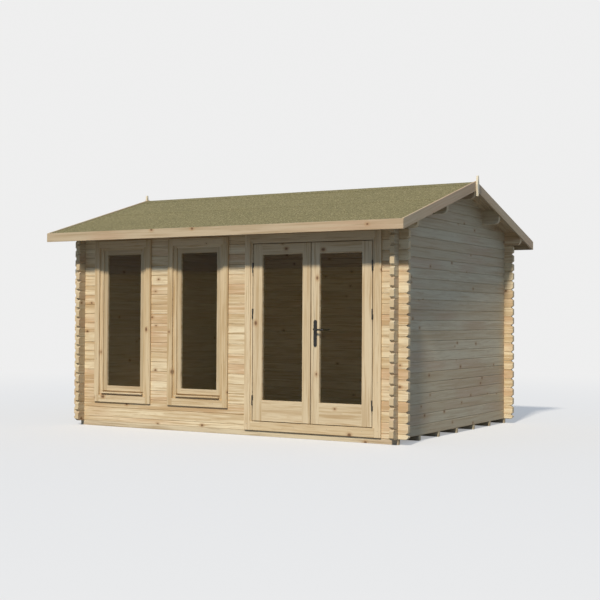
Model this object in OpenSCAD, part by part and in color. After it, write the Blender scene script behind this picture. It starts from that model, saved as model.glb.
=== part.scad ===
// Log cabin with a double glazed door and two tall windows.
// X runs along the long walls, +Y from the front wall to the back wall, +Z up.
// The origin lies on the ground, in the middle of the cabin.

/* [Walls] */
// Outside length of the long walls, without the corner projections
wall_len = 3800; // [3760:10:6000]
// Outside depth of the cabin, without the corner projections
wall_depth = 2800; // [1800:10:4800]
// Thickness of a wall log
log_t = 45; // [34:1:60]
// Height of a wall log
log_h = 100; // [98:1:125]
// Full logs under each wall plate, on top of the half log
wall_courses = 19; // [19:1:22]
// How far the logs run past the corners
corner_over = 100; // [60:5:160]
// Chamfer along the edges of a log
log_groove = 5; // [2:1:8]
// Length of the chamfer at a log's ends
end_bevel = 26; // [6:1:34]
// Height of the chamfer at a log's ends
end_rise = 20; // [6:1:24]

/* [Floor] */
// Height of the floor bearers
bearer_h = 50; // [40:1:90]
// Width of a floor bearer
bearer_w = 45; // [38:1:70]
// Number of floor bearers
bearer_count = 7; // [4:1:10]
// Thickness of the floor boards
floor_t = 19; // [16:1:28]

/* [Roof] */
// Slope of the roof in degrees
roof_pitch = 16.5; // [12:0.5:24]
// Height of the wall plate at the outer face of the wall
plate_h = 128; // [110:1:170]
// Overhang of the roof past the front and back walls, to the fascia's face
eave_over = 340; // [200:5:450]
// Overhang of the roof past the gable walls, to the bargeboard's face
gable_over = 203; // [140:1:320]
// Thickness of the roof boards
roof_board_t = 19; // [16:1:28]
// Thickness of the roof felt
felt_t = 3; // [2:1:6]
// How far the bargeboard stands above the felt
barge_lip = 8; // [4:1:20]
// Width of the felt strip over the ridge, down each slope
ridge_strip = 160; // [100:5:250]
// Thickness of the fascias and bargeboards
fascia_t = 18; // [15:1:28]
// Height of the fascia
fascia_h = 92; // [80:1:140]
// Height of the bargeboard, measured upright
barge_h = 98; // [85:1:150]
// Width of a purlin
purlin_w = 45; // [40:1:80]
// Height of a purlin at its centre
purlin_h = 150; // [110:1:180]
// Distance of the side purlins from the ridge
purlin_y = 700; // [400:10:900]
// Radius at the lower corner of the purlin and plate ends
purlin_round = 50; // [20:1:80]
// Width of the finial
finial_w = 45; // [38:1:80]
// Thickness of the finial
finial_t = 22; // [15:1:30]
// Height of the finial
finial_h = 210; // [150:1:300]
// How far the finial stands above the bargeboards
finial_up = 54; // [30:1:90]
// Width of the finial at its ends
finial_tip = 14; // [8:1:30]
// Height of the finial's widest part above its foot
finial_mid = 120; // [60:1:200]

/* [Windows] */
// Distance from the left wall's outer face to the left window's trim
window_corner = 193; // [130:1:400]
// Distance between the trims of the two windows
window_apart = 222; // [120:1:500]
// Width of a sash
sash_width = 544; // [400:1:560]
// Height of a sash
sash_height = 1500; // [700:10:1560]
// Width of the sash's stiles and rails
sash_bar = 50; // [45:1:80]
// Thickness of a sash
sash_t = 40; // [30:1:44]
// How far the sash is set back from the wall's face
sash_set = 14; // [4:1:14]
// Width of the window frame at its sides
window_jamb = 63; // [45:1:90]
// Height of the window frame's head
window_head = 45; // [40:1:90]
// Height of the window frame's sill
window_sill = 80; // [60:1:110]
// Full logs under the windows, on top of the half log
sill_courses = 2; // [1:1:2]
// Height of the drip bar
drip_h = 12; // [8:1:24]
// Height of the sill's rebate under the sash, down to the drip bar
sill_rebate = 15; // [8:1:20]
// Depth of the sill's rebate behind the sash's face
rebate_depth = 20; // [10:1:24]
// How far the drip bar stands out from the wall
drip_out = 34; // [26:1:60]
// How far the lower trim laps over the sill
sill_lap = 33; // [20:1:40]
// Width of the trim at the sides of a window
window_trim_side = 62; // [45:1:100]
// Width of the trim over and under a window
window_trim_end = 73; // [45:1:100]

/* [Door] */
// Distance from the right wall's outer face to the door's trim
door_corner = 172; // [120:1:400]
// Width of a door leaf
leaf_width = 654; // [500:1:670]
// Height of the door leaves
leaf_height = 1742; // [1400:1:1780]
// Thickness of a door leaf
leaf_t = 45; // [38:1:50]
// Width of the door stiles at the jambs
stile_w = 106; // [90:1:140]
// Width of the door stiles where the leaves meet
meeting_stile_w = 90; // [80:1:140]
// Height of the top rail
top_rail = 104; // [90:1:150]
// Height of the bottom rail
bottom_rail = 202; // [120:1:300]
// Width of the door frame's jambs and head
door_jamb = 45; // [38:1:60]
// Height of the threshold
threshold_h = 43; // [30:1:60]
// Depth of the stop that the leaf closes on
stop_w = 15; // [10:1:20]
// Gap round a leaf
leaf_gap = 8; // [5:0.5:9]
// Gap between the two leaves
meeting_gap = 9; // [9:0.5:14]
// Height of the leaf's face in front of the wall face
leaf_proud = 12; // [6:1:16]
// Width of the door trim
door_trim_w = 66; // [45:1:100]
// Height of the board across the front of the threshold
door_foot = 86; // [70:1:90]
// Thickness of all trims
trim_t = 20; // [17:1:26]
// Thickness of the trims inside the wall
inner_trim_t = 13; // [10:1:26]
// How far the trims lap over the frames
trim_lap = 22; // [15:1:30]
// Joint between two trim boards or two frame pieces
joint_gap = 0.5; // [0.2:0.1:1]
// Thickness of the glass
glass_t = 4; // [3:0.5:6]

/* [Ironmongery] */
// Height of a hinge
hinge_h = 100; // [70:2:140]
// Radius of a hinge's knuckle
knuckle_r = 6; // [5:0.5:8]
// Radius of a hinge's pin
pin_r = 3.5; // [2.5:0.5:4]
// Clearance round the hinge pin and the handle's collar
running_gap = 0.05; // [0.02:0.01:0.1]
// Thickness of the hinge flaps
flap_t = 3; // [2:0.5:4]
// Width of a hinge flap, from the pin's axis
flap_w = 9; // [8:0.5:14]
// Height of the lower hinge above the leaf's foot
hinge_low = 200; // [120:5:260]
// Distance of the upper hinge below the leaf's top
hinge_high = 232; // [120:4:260]
// Distance between the upper hinge and the one under it
hinge_pair = 456; // [200:4:500]
// Distance from the leaf's edge to the handle's centre
backset = 48; // [35:1:60]
// Height of the handle above the leaf's foot
handle_z = 907; // [850:1:1000]
// Width of the handle plate
handle_plate_w = 35; // [26:1:40]
// Length of the handle plate
handle_plate_h = 255; // [200:1:280]
// Thickness of the handle plate
handle_plate_t = 8; // [5:0.5:12]
// Distance from the plate's top to the handle's centre
handle_drop = 90; // [60:1:110]
// Distance from the handle's centre down to the lock
lock_drop = 92; // [60:1:110]
// Length of the lever
lever_len = 118; // [90:1:130]
// Radius of the lever
lever_r = 8; // [6:0.5:9]
// Distance from the plate to the middle of the lever
lever_out = 42; // [35:1:55]

/* [Hidden] */

$fn = 48;
// Margin by which a cutting shape runs past the surface that it cuts
past = 2;

// Walls
half_len = wall_len / 2;
half_depth = wall_depth / 2;
notch = log_h / 4;
wall_z = bearer_h;
long_base = wall_z + log_h / 2;
plate_z = long_base + wall_courses * log_h;

// Roof: the slopes are given by their height over the ridge line's plan position
slope = tan(roof_pitch);
upright = 1 / cos(roof_pitch);
under_ridge = plate_z + plate_h + half_depth * slope;
board_ridge = under_ridge + roof_board_t * upright;
felt_ridge = board_ridge + felt_t * upright;
barge_ridge = felt_ridge + barge_lip;
eave_y = half_depth + eave_over;
fascia_back = eave_y - fascia_t;
gable_x = half_len + gable_over;
barge_back = gable_x - fascia_t;
purlin_z = under_ridge - purlin_y * slope - purlin_h;
ridge_purlin_z = under_ridge - purlin_h;
side_courses = ceil((under_ridge - wall_z) / log_h);

// Windows: outer sizes of the hole in the wall
window_hole_w = sash_width + 2 * window_jamb;
window_hole_z = long_base + sill_courses * log_h;
window_hole_h = window_sill + sash_height + window_head;
window_trim_half = window_hole_w / 2 - trim_lap + window_trim_side;
left_window_x = -half_len + window_corner + window_trim_half;
right_window_x = left_window_x + 2 * window_trim_half + window_apart;
window_xs = [left_window_x, right_window_x];
sash_front = -half_depth + sash_set;

// Door
door_clear_half = leaf_width + meeting_gap / 2 + leaf_gap;
door_hole_half = door_clear_half + door_jamb;
door_hole_z = long_base;
leaf_z = door_hole_z + threshold_h + leaf_gap;
leaf_top = leaf_z + leaf_height;
door_hole_h = leaf_top + leaf_gap + door_jamb - door_hole_z;
door_trim_half = door_clear_half + trim_lap + door_trim_w;
door_x = half_len - door_corner - door_trim_half;
leaf_front = -half_depth - leaf_proud;
leaf_back = leaf_front + leaf_t;
frame_back = -half_depth + log_t + inner_trim_t;

// Hinges: the pin stands in front of the gap between leaf and jamb
hinge_off = leaf_width + meeting_gap / 2 + leaf_gap / 2;
hinge_y = leaf_front - knuckle_r;
hinge_levels = [hinge_low, leaf_height - hinge_high - hinge_pair, leaf_height - hinge_high];
knuckle_gap = 0.4;

// Handle
handle_x = door_x + meeting_gap / 2 + backset;
handle_up = leaf_z + handle_z;
collar_r = 9;
spindle = 8;
spindle_hole_r = 7;
key_ring_r = 9;
key_slot = 3;

// ---- Helpers ----

// Extrudes a (y, z) outline along X from x0 to x1
module along_x(x0, x1) {
  translate([x0, 0, 0]) rotate([90, 0, 90]) linear_extrude(x1 - x0) children();
}

// Extrudes an (x, z) outline along Y from y0 to y1
module along_y(y0, y1) {
  translate([0, y1, 0]) rotate([90, 0, 0]) linear_extrude(y1 - y0) children();
}

// Extrudes an (x, y) outline upwards from z0 to z1
module along_z(z0, z1) {
  translate([0, 0, z0]) linear_extrude(z1 - z0) children();
}

// A box given by its lowest and highest corners
module block(low, high) {
  translate(low) cube(high - low);
}

// Height of a roof layer at distance y from the ridge
function layer_z(ridge_z, y) = ridge_z - abs(y) * slope;

// The space under the roof boards
module under_roof() {
  reach = eave_y + past;
  along_x(-gable_x - past, gable_x + past)
    polygon([[-reach, -past], [reach, -past], [reach, layer_z(under_ridge, reach)],
             [0, under_ridge], [-reach, layer_z(under_ridge, reach)]]);
}

// One log along X, centred on x and y, standing on z = 0
module log_blank(len, h) {
  t = log_t / 2;
  g = log_groove;
  e = len / 2;
  intersection() {
    along_x(-e, e)
      polygon([[g - t, 0], [t - g, 0], [t, g], [t, h - g],
               [t - g, h], [g - t, h], [-t, h - g], [-t, g]]);
    along_y(-t - past, t + past)
      polygon([[end_bevel - e, 0], [e - end_bevel, 0], [e, end_rise], [e, h - end_rise],
               [e - end_bevel, h], [end_bevel - e, h], [-e, h - end_rise], [-e, end_rise]]);
  }
}

// A log with the notches that lock it into the crossing walls
module notched_log(len, h, cross_half, lower_notch) {
  difference() {
    log_blank(len, h);
    for (side = [-1, 1]) {
      x = side * (cross_half - log_t / 2);
      translate([x, 0, h - notch / 2 + past / 2])
        cube([log_t, log_t + past, notch + past], center = true);
      if (lower_notch)
        translate([x, 0, notch / 2 - past / 2])
          cube([log_t, log_t + past, notch + past], center = true);
    }
  }
}

// Every second course of a long wall, first = 0 for the half log's set
module long_wall(first) {
  len = wall_len + 2 * corner_over;
  for (i = [first : 2 : wall_courses])
    if (i == 0)
      translate([0, 0, wall_z]) notched_log(len, log_h / 2, half_len, false);
    else
      translate([0, 0, long_base + (i - 1) * log_h]) notched_log(len, log_h, half_len, true);
}

// Every second course of a gable wall, trimmed to the roof, with slots for the purlins
module gable_wall(first) {
  len = wall_depth + 2 * corner_over;
  difference() {
    intersection() {
      for (i = [first : 2 : side_courses - 1])
        translate([0, 0, wall_z + i * log_h])
          rotate([0, 0, 90]) notched_log(len, log_h, half_depth, true);
      under_roof();
    }
    purlin_slots();
  }
}

// The room that the purlins take in a gable wall
module purlin_slots() {
  t = log_t / 2 + past;
  for (y = [-purlin_y, purlin_y])
    block([-t, y - purlin_w / 2, purlin_z], [t, y + purlin_w / 2, under_ridge]);
  block([-t, -purlin_w / 2, ridge_purlin_z], [t, purlin_w / 2, under_ridge + past]);
}

// The holes for the windows and the door in the front wall
module front_holes() {
  y0 = -half_depth - past;
  y1 = -half_depth + log_t + past;
  for (x = window_xs)
    block([x - window_hole_w / 2, y0, window_hole_z],
          [x + window_hole_w / 2, y1, window_hole_z + window_hole_h]);
  block([door_x - door_hole_half, y0, door_hole_z],
        [door_x + door_hole_half, y1, door_hole_z + door_hole_h]);
}

// A beam along X under the roof, with rounded lower corners at its ends
module roof_beam(y, width, low) {
  e = barge_back;
  r = purlin_round;
  top = under_ridge + past;
  intersection() {
    along_y(y - width / 2, y + width / 2)
      difference() {
        translate([-e, low]) square([2 * e, top - low]);
        for (side = [-1, 1])
          difference() {
            translate([side * (e - r / 2 + past / 2), low + r / 2 - past / 2])
              square([r + past, r + past], center = true);
            translate([side * (e - r), low + r]) circle(r);
          }
      }
    under_roof();
  }
}

// A wall plate, locked over the gable walls like a log
module wall_plate(y) {
  gable_log_z = wall_z + (wall_courses + 1) * log_h;
  difference() {
    roof_beam(y, log_t, plate_z);
    for (side = [-1, 1]) {
      x = side * (half_len - log_t / 2);
      translate([x, y, plate_z + notch / 2 - past / 2])
        cube([log_t, log_t + past, notch + past], center = true);
      translate([x, y, gable_log_z + notch + plate_h / 2])
        cube([log_t, log_t + past, plate_h], center = true);
    }
  }
}

// One roof layer: a slab between two ridge heights, on one slope
module roof_layer(side, low_ridge, high_ridge, from_y, to_y, x) {
  a = side * from_y;
  b = side * to_y;
  along_x(-x, x)
    polygon([[a, layer_z(low_ridge, a)], [b, layer_z(low_ridge, b)],
             [b, layer_z(high_ridge, b)], [a, layer_z(high_ridge, a)]]);
}

// One bargeboard, on one gable and one slope
module bargeboard(end, side) {
  x0 = end > 0 ? barge_back : -gable_x;
  b = side * fascia_back;
  along_x(x0, x0 + fascia_t)
    polygon([[0, barge_ridge - barge_h], [b, layer_z(barge_ridge, b) - barge_h],
             [b, layer_z(barge_ridge, b)], [0, barge_ridge]]);
}

// The fascia on one side
module fascia(side) {
  y0 = side > 0 ? fascia_back : -eave_y;
  top = layer_z(barge_ridge, eave_y);
  block([-gable_x, y0, top - fascia_h], [gable_x, y0 + fascia_t, top]);
}

// A pointed finial against one gable's bargeboards
module finial(end) {
  x0 = end > 0 ? gable_x : -gable_x - finial_t;
  w = finial_w / 2;
  tip = finial_tip / 2;
  top = barge_ridge + finial_up;
  low = top - finial_h;
  along_x(x0, x0 + finial_t)
    polygon([[-tip, low], [tip, low], [w, low + finial_mid],
             [tip, top], [-tip, top], [-w, low + finial_mid]]);
}

// Four boards round an opening, the upper and the lower one between the side ones
module board_ring(in_half, in_low, in_high, side_w, foot_w, head_w, y0, y1) {
  x = in_half - joint_gap;
  block([-x, y0, in_high], [x, y1, in_high + head_w]);
  block([-x, y0, in_low - foot_w], [x, y1, in_low]);
  for (side = [-1, 1])
    translate([side * (in_half + side_w / 2), 0, 0])
      block([-side_w / 2, y0, in_low - foot_w], [side_w / 2, y1, in_high + head_w]);
}

// A rectangular ring in one piece
module solid_ring(half_w, low, high, left_w, right_w, foot_w, head_w, y0, y1) {
  difference() {
    block([-half_w, y0, low], [half_w, y1, high]);
    block([left_w - half_w, y0 - past, low + foot_w], [half_w - right_w, y1 + past, high - head_w]);
  }
}

// ---- Floor ----

module floor_bearers() {
  step = (wall_depth - bearer_w) / (bearer_count - 1);
  color([0.62, 0.60, 0.56])
    for (i = [0 : bearer_count - 1]) {
      y = -half_depth + i * step;
      block([-half_len, y, 0], [half_len, y + bearer_w, bearer_h]);
    }
}

module floor_boards() {
  x = half_len - log_t;
  y = half_depth - log_t;
  color([0.78, 0.66, 0.47]) block([-x, -y, bearer_h], [x, y, bearer_h + floor_t]);
}

// ---- Walls ----

module front_wall_logs(first) {
  color([0.83, 0.71, 0.50])
    difference() {
      translate([0, -half_depth + log_t / 2, 0]) long_wall(first);
      front_holes();
    }
}

module back_wall_logs(first) {
  color([0.83, 0.71, 0.50]) translate([0, half_depth - log_t / 2, 0]) long_wall(first);
}

module side_wall_logs(end, first) {
  color([0.80, 0.68, 0.48]) translate([end * (half_len - log_t / 2), 0, 0]) gable_wall(first);
}

module front_wall_plate() { color([0.80, 0.68, 0.48]) wall_plate(-half_depth + log_t / 2); }

module back_wall_plate() { color([0.80, 0.68, 0.48]) wall_plate(half_depth - log_t / 2); }

// ---- Roof ----

module ridge_purlin() { color([0.80, 0.66, 0.45]) roof_beam(0, purlin_w, ridge_purlin_z); }

module side_purlin(side) { color([0.80, 0.66, 0.45]) roof_beam(side * purlin_y, purlin_w, purlin_z); }

module roof_boards(side) {
  color([0.74, 0.60, 0.42])
    roof_layer(side, under_ridge, board_ridge, 0, fascia_back, barge_back);
}

module roof_felt(side) {
  color([0.50, 0.48, 0.34])
    roof_layer(side, board_ridge, felt_ridge, 0, fascia_back, barge_back);
}

module ridge_felt() {
  over = felt_ridge + felt_t * upright;
  y = ridge_strip * cos(roof_pitch);
  color([0.48, 0.46, 0.33])
    along_x(-barge_back, barge_back)
      polygon([[-y, layer_z(felt_ridge, y)], [0, felt_ridge], [y, layer_z(felt_ridge, y)],
               [y, layer_z(over, y)], [0, over], [-y, layer_z(over, y)]]);
}

module roof_fascia(side) { color([0.80, 0.68, 0.50]) fascia(side); }

module roof_bargeboard(end, side) { color([0.76, 0.65, 0.48]) bargeboard(end, side); }

module finials() {
  color([0.80, 0.70, 0.52])
    for (end = [-1, 1])
      finial(end);
}

// ---- Windows ----

// A window's frame: two jambs and a head, and a rebated sill with a drip bar
module window_frame(x) {
  in_half = sash_width / 2;
  out = window_hole_w / 2;
  sill_top = window_hole_z + window_sill;
  head_z = sill_top + sash_height;
  y0 = -half_depth;
  drip_z = sill_top - sill_rebate;
  translate([x, 0, 0]) {
    for (side = [-1, 1])
      translate([side * (in_half + window_jamb / 2), 0, 0])
        block([-window_jamb / 2, y0, sill_top + joint_gap],
              [window_jamb / 2, frame_back, head_z - joint_gap]);
    block([-out, y0, head_z], [out, frame_back, head_z + window_head]);
    union() {
      difference() {
        block([-out, y0, window_hole_z], [out, frame_back, sill_top]);
        block([-in_half, y0 - past, drip_z], [in_half, sash_front + rebate_depth, sill_top + past]);
      }
      block([-in_half, y0 - drip_out, drip_z - drip_h], [in_half, y0, drip_z]);
    }
  }
}

module window_frames() {
  color([0.86, 0.76, 0.56])
    for (x = window_xs)
      window_frame(x);
}

// The trims round a window, outside and inside the wall
module window_trim(x) {
  in_half = window_hole_w / 2 - trim_lap;
  low = window_hole_z + sill_lap;
  high = window_hole_z + window_hole_h - trim_lap;
  translate([x, 0, 0]) {
    board_ring(in_half, low, high, window_trim_side, window_trim_end, window_trim_end,
               -half_depth - trim_t, -half_depth);
    board_ring(window_hole_w / 2, window_hole_z, window_hole_z + window_hole_h,
               window_trim_side - trim_lap, window_trim_side - trim_lap,
               window_trim_side - trim_lap, -half_depth + log_t, frame_back);
  }
}

module window_trims() {
  color([0.87, 0.77, 0.57])
    for (x = window_xs)
      window_trim(x);
}

module window_sash(x) {
  low = window_hole_z + window_sill;
  color([0.85, 0.74, 0.53])
    translate([x, 0, 0])
      solid_ring(sash_width / 2, low, low + sash_height, sash_bar, sash_bar, sash_bar, sash_bar,
                 sash_front, sash_front + sash_t);
}

module window_panes() {
  low = window_hole_z + window_sill + sash_bar;
  half = sash_width / 2 - sash_bar;
  y = sash_front + sash_t / 2;
  color([0.35, 0.28, 0.20, 0.5])
    for (x = window_xs)
      block([x - half, y - glass_t / 2, low],
            [x + half, y + glass_t / 2, low + sash_height - 2 * sash_bar]);
}

// ---- Door ----

// Jambs with stops, a head with a stop, and the threshold
module door_frame() {
  y0 = leaf_front;
  wall_y = -half_depth;
  stop_y = leaf_back + leaf_gap;
  foot = door_hole_z + threshold_h;
  top = leaf_top + leaf_gap;
  color([0.85, 0.75, 0.55])
    translate([door_x, 0, 0]) {
      for (side = [-1, 1])
        mirror([side > 0 ? 0 : 1, 0, 0])
          along_z(foot + joint_gap, top - joint_gap)
            polygon([[door_clear_half, y0], [door_clear_half + trim_lap, y0],
                     [door_clear_half + trim_lap, wall_y], [door_hole_half, wall_y],
                     [door_hole_half, frame_back], [door_clear_half - stop_w, frame_back],
                     [door_clear_half - stop_w, stop_y], [door_clear_half, stop_y]]);
      union() {
        block([-door_hole_half, wall_y, top], [door_hole_half, frame_back, top + door_jamb]);
        block([-door_clear_half - trim_lap, y0, top],
              [door_clear_half + trim_lap, wall_y, top + trim_lap]);
        block([stop_w + joint_gap - door_clear_half, stop_y, top - stop_w],
              [door_clear_half - stop_w - joint_gap, frame_back, top]);
      }
      block([-door_hole_half, -half_depth, door_hole_z], [door_hole_half, frame_back, foot]);
    }
}

// The trims round the door, outside and inside the wall
module door_trim() {
  in_half = door_clear_half + trim_lap;
  foot = door_hole_z + threshold_h;
  high = leaf_top + leaf_gap + trim_lap;
  y0 = -half_depth - trim_t;
  color([0.87, 0.77, 0.57])
    translate([door_x, 0, 0]) {
      board_ring(in_half, foot, high, door_trim_w, door_foot, door_trim_w, y0, -half_depth);
      board_ring(door_hole_half, door_hole_z, door_hole_z + door_hole_h,
                 door_trim_w - trim_lap, log_h / 4, door_trim_w - trim_lap,
                 -half_depth + log_t, frame_back);
    }
}

// Width of the left stile of the leaf at side, and of the right stile of the other leaf
function left_stile(side) = side < 0 ? stile_w : meeting_stile_w;

// One door leaf: stiles and rails round a glass opening
module leaf_body(side) {
  x = door_x + side * (meeting_gap / 2 + leaf_width / 2);
  translate([x, 0, 0])
    solid_ring(leaf_width / 2, leaf_z, leaf_top, left_stile(side), left_stile(-side),
               bottom_rail, top_rail, leaf_front, leaf_back);
}

module leaf_pane(side) {
  x = door_x + side * (meeting_gap / 2 + leaf_width / 2);
  half = leaf_width / 2;
  y = (leaf_front + leaf_back) / 2;
  color([0.35, 0.28, 0.20, 0.5])
    block([x - half + left_stile(side), y - glass_t / 2, leaf_z + bottom_rail],
          [x + half - left_stile(-side), y + glass_t / 2, leaf_top - top_rail]);
}

module left_door_leaf() { color([0.84, 0.73, 0.52]) leaf_body(-1); }

module right_door_leaf() {
  color([0.84, 0.73, 0.52])
    difference() {
      leaf_body(1);
      translate([handle_x, leaf_front - past, handle_up])
        rotate([-90, 0, 0]) cylinder(r = spindle_hole_r, h = leaf_t + 2 * past);
    }
}

// ---- Ironmongery ----

// The upper half of a hinge: a bored knuckle with a flap on the leaf
module hinge_upper(side) {
  flap0 = side < 0 ? 0 : -flap_w;
  difference() {
    union() {
      translate([0, 0, knuckle_gap / 2]) cylinder(r = knuckle_r, h = hinge_h / 2 - knuckle_gap / 2);
      block([flap0, knuckle_r - flap_t, knuckle_gap / 2],
            [flap0 + flap_w, knuckle_r, hinge_h / 2]);
    }
    translate([0, 0, -past])
      cylinder(r = pin_r + running_gap, h = hinge_h / 2 - pin_r + past);
  }
}

// The lower half of a hinge: a knuckle with a pin and a flap on the jamb
module hinge_lower(side) {
  flap0 = side < 0 ? -flap_w : 0;
  union() {
    translate([0, 0, -hinge_h / 2]) cylinder(r = knuckle_r, h = hinge_h / 2 - knuckle_gap / 2);
    translate([0, 0, -past]) cylinder(r = pin_r, h = hinge_h / 2 - 2 * pin_r + past);
    block([flap0, knuckle_r - flap_t, -hinge_h / 2],
          [flap0 + flap_w, knuckle_r, -knuckle_gap / 2]);
  }
}

// Puts a hinge part at each hinge of one leaf
module at_hinges(side) {
  for (level = hinge_levels)
    translate([door_x + side * hinge_off, hinge_y, leaf_z + level]) children();
}

module frame_hinges() {
  color([0.10, 0.10, 0.10])
    for (side = [-1, 1])
      at_hinges(side) hinge_lower(side);
}

module leaf_hinges(side) {
  color([0.10, 0.10, 0.10]) at_hinges(side) hinge_upper(side);
}

// One handle plate, its back on y = 0 and its face towards -Y
module handle_plate() {
  r = handle_plate_w / 2;
  top = handle_drop - r;
  low = handle_drop - handle_plate_h + r;
  difference() {
    union() {
      translate([-r, -handle_plate_t, low]) cube([2 * r, handle_plate_t, top - low]);
      for (z = [low, top])
        translate([0, 0, z]) rotate([90, 0, 0]) cylinder(r = r, h = handle_plate_t);
      translate([0, 0, -lock_drop])
        rotate([90, 0, 0]) cylinder(r = key_ring_r, h = handle_plate_t + 3);
    }
    translate([0, past, 0])
      rotate([90, 0, 0]) cylinder(r = collar_r + running_gap, h = handle_plate_t + 2 * past);
    translate([0, -handle_plate_t - 1, -lock_drop]) cube([key_slot, 2 * past + 2, 9], center = true);
  }
}

module handle_plates() {
  color([0.12, 0.12, 0.12]) {
    translate([handle_x, leaf_front, handle_up]) handle_plate();
    translate([handle_x, leaf_back, handle_up]) mirror([0, 1, 0]) handle_plate();
  }
}

// One lever: a collar through the plate, a neck and a round bar with a round end
module lever() {
  neck_h = handle_plate_t + lever_out;
  rotate([90, 0, 0]) cylinder(r = collar_r, h = neck_h);
  translate([0, -neck_h, 0]) {
    rotate([0, 90, 0]) cylinder(r = lever_r, h = lever_len - lever_r);
    translate([lever_len - lever_r, 0, 0]) sphere(r = lever_r);
    sphere(r = collar_r);
  }
}

module door_handle() {
  color([0.08, 0.08, 0.08])
    translate([handle_x, 0, handle_up])
      union() {
        translate([0, leaf_front, 0]) lever();
        translate([0, leaf_back, 0]) mirror([0, 1, 0]) lever();
        block([-spindle / 2, leaf_front - 1, -spindle / 2], [spindle / 2, leaf_back + 1, spindle / 2]);
      }
}

floor_bearers();
floor_boards();
front_wall_logs(1);  // front_wall_logs_odd
front_wall_logs(0);  // front_wall_logs_even
back_wall_logs(1);  // back_wall_logs_odd
back_wall_logs(0);  // back_wall_logs_even
side_wall_logs(-1, 0);  // left_wall_logs_odd
side_wall_logs(-1, 1);  // left_wall_logs_even
side_wall_logs(1, 0);  // right_wall_logs_odd
side_wall_logs(1, 1);  // right_wall_logs_even
front_wall_plate();
back_wall_plate();
ridge_purlin();
side_purlin(-1);  // front_purlin
side_purlin(1);  // back_purlin
roof_boards(-1);  // roof_boards_front
roof_boards(1);  // roof_boards_back
roof_felt(-1);  // roof_felt_front
roof_felt(1);  // roof_felt_back
ridge_felt();
roof_fascia(-1);  // front_fascia
roof_fascia(1);  // back_fascia
roof_bargeboard(-1, -1);  // left_bargeboard_front
roof_bargeboard(-1, 1);  // left_bargeboard_back
roof_bargeboard(1, -1);  // right_bargeboard_front
roof_bargeboard(1, 1);  // right_bargeboard_back
finials();
door_frame();
door_trim();
window_trims();
window_frames();
window_sash(left_window_x);  // left_window_sash
window_sash(right_window_x);  // right_window_sash
window_panes();
frame_hinges();
left_door_leaf();
leaf_pane(-1);  // left_door_pane
leaf_hinges(-1);  // left_door_hinges
right_door_leaf();
leaf_pane(1);  // right_door_pane
leaf_hinges(1);  // right_door_hinges
handle_plates();
door_handle();
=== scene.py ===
"""The looks of the log cabin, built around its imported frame. Lengths are metres in its axes."""

import math

import bmesh
import bpy
from mathutils import Matrix, Vector, noise


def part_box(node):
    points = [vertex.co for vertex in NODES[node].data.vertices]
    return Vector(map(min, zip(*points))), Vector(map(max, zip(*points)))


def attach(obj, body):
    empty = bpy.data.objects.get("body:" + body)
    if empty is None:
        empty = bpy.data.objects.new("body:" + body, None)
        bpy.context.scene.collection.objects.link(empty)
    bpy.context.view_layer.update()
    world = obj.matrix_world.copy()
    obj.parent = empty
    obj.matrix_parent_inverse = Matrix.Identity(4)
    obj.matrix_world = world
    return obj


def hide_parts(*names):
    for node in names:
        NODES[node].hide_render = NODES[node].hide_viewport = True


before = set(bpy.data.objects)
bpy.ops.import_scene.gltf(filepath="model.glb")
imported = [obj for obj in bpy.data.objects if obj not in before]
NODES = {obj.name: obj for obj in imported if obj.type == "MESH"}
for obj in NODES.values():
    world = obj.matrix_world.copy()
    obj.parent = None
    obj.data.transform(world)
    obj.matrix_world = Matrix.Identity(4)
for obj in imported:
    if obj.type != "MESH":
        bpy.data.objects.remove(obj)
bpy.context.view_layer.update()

# ---- Sizes, nearly all read from the frame ----

COURSE = 0.100  # cover height of a wall log
LONG_JOINT = 0.0  # height of a joint of the long walls, less whole courses
GABLE_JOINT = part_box("floor_bearers")[1].z  # the same for the gable walls

BOARDS_LOW, BOARDS_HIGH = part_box("roof_boards_front")
UNDER_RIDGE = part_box("ridge_purlin")[1].z
BOARD_UP = BOARDS_HIGH.z - UNDER_RIDGE  # thickness of the roof boards, measured upright
ROOF_X = BOARDS_HIGH.x  # inner face of the bargeboards
ROOF_Y = -BOARDS_LOW.y  # inner face of the fascias
SLOPE = (UNDER_RIDGE - BOARDS_LOW.z) / ROOF_Y
PITCH = math.atan(SLOPE)

RIDGE_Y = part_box("ridge_felt")[1].y  # half the width of the ridge cap

DOOR_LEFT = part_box("left_door_leaf")[0].x
DOOR_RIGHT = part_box("right_door_leaf")[1].x
DOOR_X = (DOOR_LEFT + DOOR_RIGHT) / 2
PLATES_LOW, PLATES_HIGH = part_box("handle_plates")
HANDLE_X = (PLATES_LOW.x + PLATES_HIGH.x) / 2
SASHES = [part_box(f"{side}_window_sash") for side in ("left", "right")]
SASH_XS = [(low.x + high.x) / 2 for low, high in SASHES]
SASH_MID = sum(SASH_XS) / 2
SASH_APART = SASH_XS[1] - SASH_MID
SASH_HALF = (SASHES[0][1].x - SASHES[0][0].x) / 2
PANES_LOW, PANES_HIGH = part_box("window_panes")
SASH_BAR = PANES_LOW.x - SASHES[0][0].x


# ---- Camera ----

CAMERA_AT = Vector((6.5259, -11.0974, 1.1536))
CAMERA_YAW = -0.5299  # about Z, from +Y towards +X
CAMERA_PITCH = 0.0166
CAMERA_ROLL = 0.0058
CAMERA_LENS = 69.665  # millimetres on a 36 mm sensor


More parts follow.
